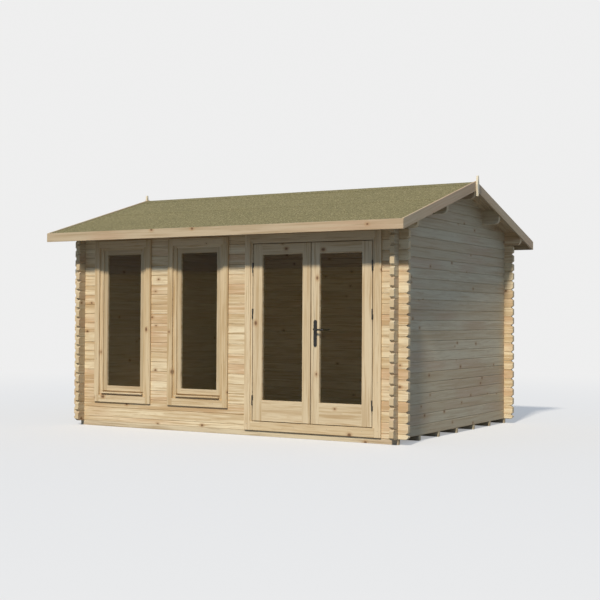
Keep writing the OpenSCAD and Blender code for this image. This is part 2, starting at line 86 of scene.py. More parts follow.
def make_camera():
    cp, sp = math.cos(CAMERA_PITCH), math.sin(CAMERA_PITCH)
    cy, sy = math.cos(CAMERA_YAW), math.sin(CAMERA_YAW)
    ahead = Vector((cp * sy, cp * cy, sp))
    level = Vector((cy, -sy, 0))
    above = level.cross(ahead)
    cr, sr = math.cos(CAMERA_ROLL), math.sin(CAMERA_ROLL)
    right = level * cr + above * sr
    up = above * cr - level * sr
    data = bpy.data.cameras.new("camera")
    data.lens = CAMERA_LENS
    data.sensor_width = 36
    data.clip_end = 200
    camera = bpy.data.objects.new("camera", data)
    matrix = Matrix((right, up, -ahead)).transposed().to_4x4()
    matrix.translation = CAMERA_AT
    camera.matrix_world = matrix
    bpy.context.scene.collection.objects.link(camera)
    bpy.context.scene.camera = camera


# ---- Node helpers ----

def linear(byte):
    c = byte / 255
    return c / 12.92 if c <= 0.04045 else ((c + 0.055) / 1.055) ** 2.4


def rgb(r, g, b):
    """A colour given as screen bytes."""
    return (linear(r), linear(g), linear(b), 1.0)


class Graph:
    """A node tree with short ways to add and join nodes."""

    def __init__(self, owner):
        self.owner = owner
        owner.use_nodes = True
        self.tree = owner.node_tree
        self.tree.nodes.clear()

    def add(self, kind, **settings):
        node = self.tree.nodes.new(kind)
        for key, value in settings.items():
            setattr(node, key, value)
        return node

    def put(self, socket, value):
        """Joins value to socket if it is an output, or else sets it."""
        if isinstance(value, bpy.types.NodeSocket):
            self.tree.links.new(value, socket)
        else:
            socket.default_value = value

    def math(self, op, a, b=None):
        node = self.add("ShaderNodeMath", operation=op)
        self.put(node.inputs[0], a)
        if b is not None:
            self.put(node.inputs[1], b)
        return node.outputs[0]

    def plus(self, a, b):
        return self.math("ADD", a, b)

    def minus(self, a, b):
        return self.math("SUBTRACT", a, b)

    def times(self, a, b):
        return self.math("MULTIPLY", a, b)

    def size(self, a):
        return self.math("ABSOLUTE", a)

    def length(self, vector):
        node = self.add("ShaderNodeVectorMath", operation="LENGTH")
        self.put(node.inputs[0], vector)
        return node.outputs["Value"]

    def xyz(self, vector):
        node = self.add("ShaderNodeSeparateXYZ")
        self.put(node.inputs[0], vector)
        return node.outputs

    def vector(self, x, y, z):
        node = self.add("ShaderNodeCombineXYZ")
        for socket, value in zip(node.inputs, (x, y, z)):
            self.put(socket, value)
        return node.outputs[0]

    def place(self):
        return self.add("ShaderNodeTexCoord").outputs["Object"]

    def noise(self, vector, scale, detail=2.0, rough=0.5):
        node = self.add("ShaderNodeTexNoise")
        self.put(node.inputs["Vector"], vector)
        node.inputs["Scale"].default_value = scale
        node.inputs["Detail"].default_value = detail
        node.inputs["Roughness"].default_value = rough
        return node.outputs["Fac"]

    def white(self, vector):
        node = self.add("ShaderNodeTexWhiteNoise", noise_dimensions="3D")
        self.put(node.inputs["Vector"], vector)
        return node.outputs

    def cells(self, vector, scale, dimensions="3D", randomness=1.0):
        node = self.add("ShaderNodeTexVoronoi", voronoi_dimensions=dimensions, feature="F1")
        self.put(node.inputs["Vector"], vector)
        node.inputs["Scale"].default_value = scale
        node.inputs["Randomness"].default_value = randomness
        return node.outputs

    def ramp(self, value, low, high, to_low=0.0, to_high=1.0):
        """A smooth step from to_low to to_high as value goes from low to high."""
        node = self.add("ShaderNodeMapRange", clamp=True, interpolation_type="SMOOTHSTEP")
        self.put(node.inputs["Value"], value)
        ends = {"From Min": low, "From Max": high, "To Min": to_low, "To Max": to_high}
        for key, number in ends.items():
            self.put(node.inputs[key], number)
        return node.outputs["Result"]

    def mix(self, fac, a, b):
        node = self.add("ShaderNodeMix", data_type="RGBA")
        for key, value in (("Factor", fac), ("A", a), ("B", b)):
            self.put(node.inputs[key], value)
        return node.outputs["Result"]

    def bump(self, height, strength, distance):
        node = self.add("ShaderNodeBump")
        self.put(node.inputs["Height"], height)
        node.inputs["Strength"].default_value = strength
        node.inputs["Distance"].default_value = distance
        return node.outputs["Normal"]

    def surface(self, base, roughness, normal=None, **constants):
        """Ends the tree in one Principled shader and gives back its material."""
        shader = self.add("ShaderNodeBsdfPrincipled")
        self.put(shader.inputs["Base Color"], base)
        self.put(shader.inputs["Roughness"], roughness)
        if normal is not None:
            self.put(shader.inputs["Normal"], normal)
        for key, value in constants.items():
            shader.inputs[key.replace("_", " ")].default_value = value
        output = self.add("ShaderNodeOutputMaterial")
        self.tree.links.new(shader.outputs[0], output.inputs["Surface"])
        return self.owner


def new_material(name):
    return Graph(bpy.data.materials.new(name))


# ---- Wood ----

def wood_tones(pale, mid, dark, pink):
    """Tones of a kind of wood, each given as screen bytes."""
    return {"pale": rgb(*pale), "mid": rgb(*mid), "dark": rgb(*dark), "pink": rgb(*pink)}


LOG = wood_tones((235, 220, 186), (216, 195, 156), (184, 155, 112), (205, 171, 133))
# The gable walls' and purlins' tones are the logs' own, darkened and cooled as painted shade
SHADED_LOG = wood_tones((209, 197, 168), (197, 180, 148), (174, 150, 115), (194, 170, 142))
TRIM = wood_tones((222, 203, 168), (208, 186, 147), (182, 153, 110), (208, 177, 141))
LEAF = wood_tones((222, 205, 172), (207, 187, 151), (182, 155, 115), (206, 178, 146))
# The sashes' tones are the joinery's, darkened as painted shade of the eave over them
SHADED_SASH = wood_tones((208, 191, 158), (192, 173, 138), (168, 142, 104), (190, 164, 132))
FASCIA = wood_tones((204, 187, 157), (190, 171, 141), (166, 144, 111), (192, 164, 134))
SOFFIT = wood_tones((202, 183, 150), (184, 163, 130), (156, 131, 98), (182, 154, 124))
FINIAL = wood_tones((238, 229, 205), (228, 217, 190), (204, 188, 156), (224, 208, 178))
BEARER = wood_tones((216, 201, 170), (202, 185, 152), (172, 150, 116), (198, 176, 146))
KNOT = rgb(122, 90, 60)
KNOT_CORE = rgb(84, 54, 34)
KNOT_RING = rgb(176, 140, 99)
END_GRAIN = rgb(212, 189, 148)
# Painted shade and dirt for the joints between logs, where the grooves lie in shade
JOINT_SHADE_AND_DIRT = rgb(126, 100, 68)

# For each lie of the boards: the axes along the grain, through the board and across the grain
LIES = {"X": (0, 1, 2), "Y": (1, 0, 2), "Z": (2, 1, 0), "FLAT": (1, 2, 0)}

BEAM_WIDTH = 0.11  # taken for the knots of a timber without courses
RINGS_PER_METRE = 190.0
HEART_WANDER = 0.11  # how far a board's heart line strays along it
HEART_SPREAD = 0.07  # how far it differs from board to board
HEART_DEPTH = 0.035  # least distance of the heart lines behind the object's origin
KNOT_SWERVE = 0.012  # how far the grain goes round a knot
KNOT_EDGE = 0.002  # softness of a knot's outline
KNOT_HALO = 0.024  # reach of the bent grain round a knot
KNOT_WOBBLE = 0.007  # how uneven its outline is


def board_axes(g, lie, slope, framed):
    """Places along the grain, through the board and across it, and the board's number in a frame.
    slope is the fall of the boards from the ridge. framed is (middle, apart, half): in a frame whose
    centre is apart from the middle on either side, the grain lies along X up to half, then upright."""
    axes = list(g.xyz(g.place()))
    if slope:
        axes[2] = g.plus(axes[2], g.times(g.size(axes[1]), slope))
    run, deep, rise = (axes[i] for i in LIES[lie])
    if not framed:
        return run, deep, rise, None
    middle, apart, half = framed
    from_middle = g.minus(run, middle)
    across = g.minus(g.size(from_middle), apart)
    upright = g.math("GREATER_THAN", g.size(across), half)
    level = g.minus(1.0, upright)
    number = g.plus(g.times(upright, g.plus(g.math("SIGN", across), 3.0)),
                    g.times(level, g.math("FLOOR", rise)))
    if apart:
        number = g.plus(number, g.times(g.math("SIGN", from_middle), 9.0))
    return (g.plus(g.times(run, level), g.times(rise, upright)), deep,
            g.plus(g.times(rise, level), g.times(run, upright)), number)


def find_knots(g, run, rise, course, every, biggest, shift):
    """How much of a knot a point is in, of its core, and of the grain that flows round it, and the side
    of the knot that the point is on."""
    where = g.vector(g.plus(g.math("DIVIDE", run, every), shift), g.math("DIVIDE", rise, course), 0.0)
    cell = g.cells(where, 1.0, "2D", 0.9)
    offset = g.xyz(cell["Position"])
    here = g.xyz(where)
    along = g.times(g.minus(here[0], offset[0]), every * 0.72)
    across = g.times(g.minus(here[1], offset[1]), course)
    reach = g.length(g.vector(along, across, 0.0))
    wobble = g.noise(g.vector(run, rise, 0.0), 70.0)
    reach = g.plus(reach, g.times(g.minus(wobble, 0.5), KNOT_WOBBLE))
    radius = g.plus(g.times(g.ramp(g.xyz(cell["Color"])[0], 0.5, 1.0), biggest), -0.001)
    out = g.minus(reach, radius)
    knot = g.ramp(out, KNOT_EDGE, -KNOT_EDGE)
    core = g.ramp(g.minus(reach, g.times(radius, 0.45)), KNOT_EDGE, -KNOT_EDGE)
    halo = g.times(g.ramp(out, KNOT_HALO, 0.0), g.ramp(radius, 0.001, 0.006))
    return knot, g.times(core, knot), halo, g.math("SIGN", across)


def wood(name, tones, lie="X", course=None, offset=0.0, slope=0.0, framed=None, knot_every=0.5,
         knot_size=0.013, seed=0.0, joint_shade_and_dirt=0.0, rough=0.62, streaks=1.0):
    """Planed softwood. course and offset give the width of a board and the place of a joint, so that
    each board has its own tone and its own stretch of the tree."""
    g = new_material(name)
    run, deep, rise, number = board_axes(g, lie, slope, framed)
    width = course or BEAM_WIDTH
    boards = g.math("DIVIDE", g.minus(rise, offset), width)
    if not framed:
        number = g.math("FLOOR", boards if course else g.times(g.plus(rise, deep), 3.1))
    side = g.math("FLOOR", g.times(deep, 1.7))
    own = g.xyz(g.white(g.vector(number, side, seed + 0.5))["Color"])
    knot, core, halo, turn = find_knots(g, run, rise, width, knot_every, knot_size,
                                        g.plus(g.times(own[2], 3.0), seed))

    # Growth rings about a heart line that wanders along the board and swerves round the knots
    wander = g.noise(g.vector(g.times(run, 0.9), g.times(number, 3.7), seed), 1.3, 1.0)
    heart = g.plus(g.times(g.minus(wander, 0.5), HEART_WANDER),
                   g.times(g.minus(own[0], 0.5), HEART_SPREAD))
    level = g.minus(g.minus(rise, g.times(number, width if course else 0.0)), heart)
    level = g.plus(level, g.times(g.times(halo, turn), KNOT_SWERVE))
    depth = g.plus(deep, g.plus(HEART_DEPTH, g.times(own[1], 0.05)))
    fuzz = g.noise(g.vector(g.times(run, 2.2), g.times(deep, 30.0), g.times(rise, 30.0)), 1.0, 3.0)
    rings = g.plus(g.times(g.length(g.vector(level, depth, 0.0)), RINGS_PER_METRE), g.times(fuzz, 3.2))
    late = g.math("POWER", g.math("FRACT", rings), 2.6)

    # Broad streaks along the board, and fine fibres
    drift = g.times(number, 5.1)
    band = g.noise(g.vector(g.times(run, 0.8), g.times(deep, 9.0),
                            g.plus(g.times(rise, 16.0), drift)), 1.0, 2.0)
    streak = g.noise(g.vector(g.times(run, 2.0), g.times(deep, 26.0),
                              g.plus(g.times(rise, 62.0), drift)), 1.0, 3.0, 0.6)
    fibre = g.noise(g.vector(g.times(run, 14.0), g.times(deep, 420.0), g.times(rise, 420.0)),
                    1.0, 2.0, 0.6)

    tone = g.mix(g.ramp(own[0], 0.1, 0.9), tones["pale"], tones["mid"])
    if not framed:
        own_run = g.plus(g.times(run, 0.9), g.times(number, 7.3))
        part = g.noise(g.vector(own_run, g.plus(g.times(number, 4.3), side), seed + 9.5), 1.0, 1.0)
        tone = g.mix(g.ramp(part, 0.47, 0.66, 0.0, 0.85), tone, tones["pink"])
    tone = g.mix(g.ramp(band, 0.5, 0.66, 0.0, 0.55 * streaks), tone, tones["dark"])
    tone = g.mix(g.ramp(band, 0.48, 0.34, 0.0, 0.6 * streaks), tone, tones["pale"])
    tone = g.mix(g.ramp(streak, 0.52, 0.68, 0.0, 0.8 * streaks), tone, tones["dark"])
    tone = g.mix(g.ramp(streak, 0.47, 0.33, 0.0, 0.7 * streaks), tone, tones["pale"])
    tone = g.mix(g.times(late, 0.36), tone, tones["dark"])
    tone = g.mix(g.ramp(fibre, 0.45, 0.8, 0.0, 0.18), tone, tones["dark"])
    tone = g.mix(g.times(halo, 0.55), tone, KNOT_RING)
    tone = g.mix(g.times(knot, 0.75), tone, KNOT)
    tone = g.mix(g.times(core, 0.7), tone, KNOT_CORE)
    if not framed:
        facing = g.xyz(g.add("ShaderNodeNewGeometry").outputs["True Normal"])
        end = g.ramp(g.size(facing[LIES[lie][0]]), 0.86, 0.96, 0.0, 0.6)
        tone = g.mix(end, tone, END_GRAIN)
    # Darker close to each joint between boards: painted shade of the groove there, with dirt
    if joint_shade_and_dirt:
        edge = g.math("FRACT", boards)
        edge = g.math("MINIMUM", edge, g.minus(1.0, edge))
        tone = g.mix(g.ramp(edge, 0.06, 0.02, 0.0, joint_shade_and_dirt), tone, JOINT_SHADE_AND_DIRT)

    height = g.minus(g.times(fibre, 0.5), g.plus(g.times(late, 0.35), g.times(knot, 0.35)))
    shine = g.ramp(g.plus(g.times(streak, 0.6), g.times(fibre, 0.4)), 0.25, 0.8,
                   rough + 0.08, rough - 0.1)
    return g.surface(tone, shine, g.bump(height, 0.35, 0.0012), Specular_IOR_Level=0.3)


# ---- Other materials ----

def felt_material():
    """Green mineral felt: coarse slate grains in several greens and greys."""
    g = new_material("mineral_felt")
    place = g.place()
    chip = g.xyz(g.cells(place, 420.0)["Color"])
    cloud = g.noise(place, 2.4, 4.0, 0.6)
    patch = g.noise(place, 26.0, 3.0, 0.6)
    speckle = g.noise(place, 55.0, 4.0, 0.75)
    base = g.mix(g.ramp(cloud, 0.3, 0.7), rgb(115, 107, 71), rgb(129, 120, 82))
    base = g.mix(g.ramp(patch, 0.35, 0.75, 0.0, 0.6), base, rgb(111, 105, 71))
    base = g.mix(g.ramp(speckle, 0.5, 0.64, 0.0, 0.85), base, rgb(172, 163, 124))
    base = g.mix(g.ramp(speckle, 0.5, 0.36, 0.0, 0.85), base, rgb(84, 80, 54))
    base = g.mix(g.ramp(chip[0], 0.55, 0.9, 0.0, 0.5), base, rgb(152, 145, 106))
    base = g.mix(g.ramp(chip[1], 0.6, 0.95, 0.0, 0.55), base, rgb(80, 77, 52))
    height = g.plus(g.times(chip[2], 0.6), g.times(speckle, 0.8))
    return g.surface(base, g.ramp(chip[0], 0.0, 1.0, 0.8, 0.95), g.bump(height, 0.6, 0.0015),
                     Specular_IOR_Level=0.2)


def glass_material():
    """Clear panes that darken the room behind them."""
    g = new_material("window_glass")
    film = g.noise(g.place(), 3.0, 3.0)
    base = g.mix(film, rgb(70, 61, 26), rgb(84, 74, 34))
    return g.surface(base, g.ramp(film, 0.3, 0.7, 0.04, 0.09), Alpha=0.14, Specular_IOR_Level=0.5)


def black_metal():
    """Black satin powder coat."""
    g = new_material("black_ironmongery")
    place = g.place()
    peel = g.noise(place, 900.0)
    wear = g.noise(place, 60.0, 4.0, 0.65)
    base = g.mix(g.ramp(wear, 0.5, 0.8), rgb(22, 21, 20), rgb(44, 41, 38))
    return g.surface(base, g.ramp(wear, 0.3, 0.7, 0.34, 0.5), g.bump(peel, 0.15, 0.0004),
                     Specular_IOR_Level=0.5)


def nail_material():
    g = new_material("zinc_nails")
    spot = g.noise(g.place(), 400.0, 3.0, 0.7)
    base = g.mix(spot, rgb(120, 118, 112), rgb(164, 162, 155))
    return g.surface(base, g.ramp(spot, 0.3, 0.7, 0.4, 0.65), Metallic=0.6)


# ---- Stage ----

SUN_FROM = Vector((0.18, -1.0, 0.93))
SUN_STRENGTH = 3.45
SUN_ANGLE = math.radians(5.0)
SUN_COLOUR = (1.0, 0.915, 0.80)
SKY_COLOUR = (0.185, 0.27, 0.40, 1.0)
FLOOR_BOUNCE = (0.21, 0.225, 0.235, 1.0)
FLOOR_SEEN = (0.80, 0.80, 0.79, 1.0)
BACKDROP = (0.86, 0.86, 0.86, 1.0)
FLOOR_REACH = 60.0


def seen_directly(g):
    """1 for what the camera sees, straight or in glass and metal."""
    ray = g.add("ShaderNodeLightPath").outputs
    seen = g.math("MAXIMUM", ray["Is Camera Ray"], ray["Is Glossy Ray"])
    return g.math("MAXIMUM", seen, ray["Is Transmission Ray"])


def make_world():
    world = bpy.data.worlds.new("world")
    bpy.context.scene.world = world
    g = Graph(world)
    shader = g.add("ShaderNodeBackground")
    g.put(shader.inputs["Color"], g.mix(seen_directly(g), SKY_COLOUR, BACKDROP))
    output = g.add("ShaderNodeOutputWorld")
    g.tree.links.new(shader.outputs[0], output.inputs["Surface"])


def make_floor():
    """A pale floor that runs out into the backdrop."""
    g = new_material("stage_floor")
    seen = seen_directly(g)
    g.surface(g.mix(seen, FLOOR_BOUNCE, FLOOR_SEEN), 0.9, Specular_IOR_Level=0.0)
    output = next(node for node in g.tree.nodes if node.type == "OUTPUT_MATERIAL")
    lit = output.inputs["Surface"].links[0].from_socket
    glow = g.add("ShaderNodeEmission")
    g.put(glow.inputs["Color"], BACKDROP)
    blend = g.add("ShaderNodeMixShader")
    g.put(blend.inputs[0], g.times(seen, g.ramp(g.length(g.place()), 3.5, 14.0, 0.4, 1.0)))
    g.put(blend.inputs[1], lit)
    g.put(blend.inputs[2], glow.outputs[0])
    g.put(output.inputs["Surface"], blend.outputs[0])
    r = FLOOR_REACH
    mesh = bpy.data.meshes.new("floor")
    mesh.from_pydata([(-r, -r, 0), (r, -r, 0), (r, r, 0), (-r, r, 0)], [], [(0, 1, 2, 3)])
    mesh.materials.append(g.owner)
    floor = bpy.data.objects.new("floor", mesh)
    floor.location.z = -0.0005
    bpy.context.scene.collection.objects.link(floor)


def make_sun():
    sun = bpy.data.lights.new("key", "SUN")
    sun.energy = SUN_STRENGTH
    sun.angle = SUN_ANGLE
    sun.color = SUN_COLOUR
    key = bpy.data.objects.new("key", sun)
    key.rotation_euler = SUN_FROM.to_track_quat("Z", "Y").to_euler()
    bpy.context.scene.collection.objects.link(key)


# ---- Mesh helpers ----

def piece(name, build, material, body="cabin", replaces=(), bevel=0.0, smooth=False):
    """Makes a piece of the object from a bmesh."""
    bmesh.ops.recalc_face_normals(build, faces=build.faces)
    mesh = bpy.data.meshes.new(name)
    build.to_mesh(mesh)
    build.free()
    mesh.materials.append(material)
    for face in mesh.polygons:
        face.use_smooth = smooth
    thing = bpy.data.objects.new(name, mesh)
    bpy.context.scene.collection.objects.link(thing)
    if bevel:
        soften(thing, bevel)
    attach(thing, body)
    if replaces:
        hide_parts(*replaces)
    return thing


def soften(thing, width):
    soft = thing.modifiers.new("soft_edges", "BEVEL")
    soft.width = width
    soft.segments = 2
    soft.limit_method = "ANGLE"
    soft.angle_limit = math.radians(30)


def loft(build, loops, closed=False):
    """Joins loops of places, each to the next, and closes the ends unless the last joins the first."""
    rows = [[build.verts.new(place) for place in loop] for loop in loops]
    pairs = list(zip(rows, rows[1:]))
    if closed:
        pairs.append((rows[-1], rows[0]))
    for near, far in pairs:
        for i in range(len(near)):
            j = (i + 1) % len(near)
            build.faces.new((near[i], near[j], far[j], far[i]))
    if not closed:
        build.faces.new(rows[0][::-1])
        build.faces.new(rows[-1])


# ---- Boards ----

BOARD_GAP = 0.0006
ROOF_BOARD = 0.100
FLOOR_BOARD = 0.112
ROOF_GROOVE = 0.004
FLOOR_GROOVE = 0.0015


def planks(build, x_low, x_high, cover, thick, near, far, groove, grooved_under):
    """Boards side by side along X, each from near to far, which are (y, z) at its underside."""
    count = round((x_high - x_low) / cover)
    step = (x_high - x_low) / count
    for i in range(count):
        a = x_low + i * step + BOARD_GAP / 2
        b = a + step - BOARD_GAP
        if grooved_under:
            outline = [(a, groove), (a + groove, 0), (b - groove, 0), (b, groove), (b, thick),
                       (a, thick)]
        else:
            outline = [(a, 0), (b, 0), (b, thick - groove), (b - groove, thick), (a + groove, thick),
                       (a, thick - groove)]
        loft(build, [[(x, y, z + up) for x, up in outline] for y, z in (near, far)])
    return step


def make_roof_boards():
    for side, name in ((-1, "front"), (1, "back")):
        build = bmesh.new()
        eave = (side * ROOF_Y, UNDER_RIDGE - ROOF_Y * SLOPE)
        ridge = (0.0, UNDER_RIDGE)
        step = planks(build, -ROOF_X, ROOF_X, ROOF_BOARD, BOARD_UP, ridge, eave, ROOF_GROOVE, True)
        material = wood(f"roof_board_pine_{name}", SOFFIT, "FLAT", step, -ROOF_X, SLOPE,
                        seed=13.0 + side)
        piece(f"grooved_roof_boards_{name}", build, material,
              replaces=[f"roof_boards_{name}"])


def make_floor_boards():
    low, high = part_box("floor_boards")
    build = bmesh.new()
    step = planks(build, low.x, high.x, FLOOR_BOARD, high.z - low.z, (low.y, low.z), (high.y, low.z),
                  FLOOR_GROOVE, False)
    material = wood("floor_board_pine", TRIM, "FLAT", step, low.x, seed=11.0)
    piece("laid_floor_boards", build, material, replaces=["floor_boards"])


# ---- Roof felt ----

FELT_THICK = 0.0012
LAP_FOOT = 0.86  # distance from the ridge of the upper sheet's foot
LAP_TOP = 0.78  # and of the lower sheet's top
FELT_STEP = 0.08  # spacing of the felt's points down the slope
CAP_LIFT = 0.0028  # height of the ridge cap over the boards
CAP_TOP = 0.0060  # height over the boards of the nails in the ridge cap
SHEET_TOP = 0.0026  # of those in the lower sheet
UPPER_TOP = 0.0028  # and of those in the upper one
FELT_IN = 0.0005  # how far the felt stays inside the boards' edges
NAIL_STEP = 0.15


def felt_level(y, lift):
    """Height of the boards' top at y, plus lift."""
    return UNDER_RIDGE + BOARD_UP - abs(y) * SLOPE + lift


def felt_strip(build, line):
    """A strip of felt along the roof. line is its underside, as (y, lift over the boards), and it lies
    a little unevenly."""
    count = 60
    half = ROOF_X - FELT_IN
    loops = []
    for i in range(count + 1):
        x = -half + 2 * half * i / count
        under = []
        top = []
        for y, lift in line:
            wave = 0.0005 * (1 + noise.noise(Vector((x * 2.3, y * 5.0, 0.0))))
            under.append((x, y, felt_level(y, lift)))
            top.append((x, y, felt_level(y, lift + FELT_THICK + wave)))
        loops.append(under + top[::-1])
    loft(build, loops)


def spread(low, high, step):
    """Even places from low to high, about step apart."""
    count = max(1, round((high - low) / step))
    return [low + (high - low) * i / count for i in range(count + 1)]


def make_felt(material, nail):
    clouts = []
    for side, name in ((-1, "front"), (1, "back")):
        build = bmesh.new()
        lower = [(side * y, 0.0) for y in spread(LAP_TOP, ROOF_Y - FELT_IN, FELT_STEP)]
        felt_strip(build, lower)
        upper = [(side * y, 0.0) for y in spread(0.002, LAP_TOP - 0.02, FELT_STEP)]
        upper += [(side * y, FELT_THICK + 0.0006) for y in spread(LAP_TOP, LAP_FOOT, FELT_STEP / 2)]
        felt_strip(build, upper)
        piece(f"felt_sheets_{name}", build, material, replaces=[f"roof_felt_{name}"])
        for x in spread(-ROOF_X + 0.04, ROOF_X - 0.04, NAIL_STEP):
            clouts.append((x, side * (RIDGE_Y - 0.025), CAP_TOP))
            clouts.append((x, side * (ROOF_Y - 0.03), SHEET_TOP))
        for y in spread(RIDGE_Y + 0.03, ROOF_Y - 0.06, NAIL_STEP):
            top = SHEET_TOP if y > LAP_FOOT else UPPER_TOP
            clouts += [(end * (ROOF_X - 0.025), side * y, top) for end in (-1, 1)]
    build = bmesh.new()
    half_line = [(y, CAP_LIFT) for y in spread(0.02, RIDGE_Y, FELT_STEP / 2)]
    fold = [(-0.006, CAP_LIFT - 0.001), (0.006, CAP_LIFT - 0.001)]
    felt_strip(build, [(-y, up) for y, up in half_line[::-1]] + fold + half_line)
    piece("felt_ridge_cap", build, material, replaces=["ridge_felt"])
    build = bmesh.new()
    for x, y, up in clouts:
        tilt = Vector((0, math.copysign(math.sin(PITCH), y), math.cos(PITCH)))
        nail_head(build, Vector((x, y, felt_level(y, up))), tilt, 0.005, 0.0009)
    piece("felt_clout_nails", build, nail, smooth=True)


def nail_head(build, place, out, radius, rise):
    """A low round head on a surface that faces out."""
    turn = out.to_track_quat("Z", "Y").to_matrix()
    count = 8
    rings = []
    for r, h in ((radius, -0.0006), (radius, rise * 0.45), (radius * 0.6, rise)):
        rings.append([place + turn @ Vector((r * math.cos(a), r * math.sin(a), h))
                      for a in (2 * math.pi * k / count for k in range(count))])
    loft(build, rings)


# ---- Glazing beads ----

BEAD_WIDE = 0.003
BEAD_DEEP = 0.010
BEAD_TOP = 0.0015  # its width at its outer edge
BEAD_LIP = 0.003  # how far out it keeps its full width
BEAD_CLEAR = 0.0002  # its distance from the glass and the frame


def mitred_ring(build, centre, half, low, high, outline):
    """A moulding mitred round an opening. outline gives its corners as (inset, y)."""
    loops = []
    for right, top in ((-1, -1), (1, -1), (1, 1), (-1, 1)):
        loop = []
        for inset, y in outline:
            z = high - inset if top > 0 else low + inset
            loop.append((centre + right * (half - inset), y, z))
        loops.append(loop)
    loft(build, loops, closed=True)


def bead_outline(glass_y, out):
    """The section of a bead whose foot is on the glass and which stands towards out, -1 or 1."""
    foot = glass_y + out * BEAD_CLEAR
    top = foot + out * BEAD_DEEP
    return [(BEAD_CLEAR, foot), (BEAD_WIDE, foot), (BEAD_WIDE, foot + out * BEAD_LIP), (BEAD_TOP, top),
            (BEAD_CLEAR, top)]


def make_beads(sash_wood, leaf_woods):
    build = bmesh.new()
    for x in SASH_XS:
        for y, out in ((PANES_LOW.y, -1), (PANES_HIGH.y, 1)):
            mitred_ring(build, x, SASH_HALF - SASH_BAR, PANES_LOW.z, PANES_HIGH.z, bead_outline(y, out))
    piece("window_beads", build, sash_wood)
    for side, leaf_wood in leaf_woods.items():
        low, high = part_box(f"{side}_door_pane")
        build = bmesh.new()
        for y, out in ((low.y, -1), (high.y, 1)):
            mitred_ring(build, (low.x + high.x) / 2, (high.x - low.x) / 2, low.z, high.z,
                        bead_outline(y, out))
        piece(f"{side}_door_beads", build, leaf_wood, f"{side}_door")


# ---- Door furniture ----

def sweep(build, places, radii, flat, count=20):
    """A bar through places, with its radius at each. flat is its depth as a share of its height."""
    rings = []
    for i, place in enumerate(places):
        ahead = (places[min(i + 1, len(places) - 1)] - places[max(i - 1, 0)]).normalized()
        up = Vector((0, 0, 1))
        across = ahead.cross(up).normalized()
        rings.append([place + up * (radii[i] * math.sin(a)) + across * (radii[i] * flat * math.cos(a))
                      for a in (2 * math.pi * k / count for k in range(count))])
    loft(build, rings)


LEVER_R = 0.0085
LEVER_ELBOW = 0.016
LEVER_IN = 0.006  # how far the lever's middle line ends before its tip
LEVER_SAG = 0.004
LEVER_BACK = 0.006  # how far the grip's end curls towards the door
COLLAR_R = 0.0125
COLLAR_OUT = 0.006
SPINDLE_R = 0.0055


def lever_route(root, out, reach, stand):
    """The middle line of a lever: out of the plate, round an elbow and along the door."""
    elbow = LEVER_ELBOW
    line = [root, root + Vector((0, out * (stand - elbow) * 0.5, 0)),
            root + Vector((0, out * (stand - elbow), 0))]
    for k in range(1, 7):
        a = math.radians(15 * k)
        depth = out * (stand - elbow * (1 - math.sin(a)))
        line.append(root + Vector((elbow * (1 - math.cos(a)), depth, 0)))
    for k in range(1, 11):
        t = k / 10
        sag = -LEVER_SAG * math.sin(math.pi * t)
        back = LEVER_BACK * t ** 3
        line.append(root + Vector((elbow + (reach - elbow) * t, out * (stand - back), sag)))
    return line


def make_lever(metal):
    low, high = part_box("door_handle")
    middle_z = (low.z + high.z) / 2
    build = bmesh.new()
    for out, face, edge in ((-1, PLATES_LOW.y, low.y), (1, PLATES_HIGH.y, high.y)):
        root = Vector((HANDLE_X, face, middle_z))
        route = lever_route(root, out, high.x - HANDLE_X - LEVER_IN, abs(edge - face) - LEVER_R)
        radii = [0.0095] + [LEVER_R] * 8
        radii += [0.0086, 0.0087, 0.0088, 0.0089, 0.0090, 0.0090, 0.0090, 0.0089, 0.0080, 0.0045]
        sweep(build, route, radii, 0.82)
        collar = [Vector((HANDLE_X, face + out * rise, middle_z))
                  for rise in (-0.002, 0.004, COLLAR_OUT)]
        sweep(build, collar, [COLLAR_R, COLLAR_R, COLLAR_R - 0.002], 1.0, 32)
    spindle = [Vector((HANDLE_X, y, middle_z)) for y in (PLATES_LOW.y + 0.001, PLATES_HIGH.y - 0.001)]
    sweep(build, spindle, [SPINDLE_R] * 2, 1.0, 4)
    piece("lever_handles", build, metal, "door_handle", ["door_handle"], smooth=True)


LOCK_RING = 0.003  # how far the lock's ring stands out from the plate's face
SCREW_IN = 0.014  # distance of a screw from the plate's end
SCREW_R = 0.0045


def make_plate_screws(metal):
    build = bmesh.new()
    for y, out in ((PLATES_LOW.y + LOCK_RING, -1), (PLATES_HIGH.y - LOCK_RING, 1)):
        for z in (PLATES_LOW.z + SCREW_IN, PLATES_HIGH.z - SCREW_IN):
            nail_head(build, Vector((HANDLE_X, y, z)), Vector((0, out, 0)), SCREW_R, 0.0008)
    piece("handle_plate_screws", build, metal, "right_door", smooth=True)


# ---- Nails in the joinery ----

WINDOW_TRIM_W = 0.062
DOOR_TRIM_W = 0.066
PIN_R = 0.0028
PIN_IN = 0.06  # distance of a trim's first pin from its end
BARGE_PIN_IN = 0.03
BARGE_PIN_STEP = 0.34
BARGE_PIN_UP = 0.026  # height of a pin over the board's middle, and of its neighbour under it


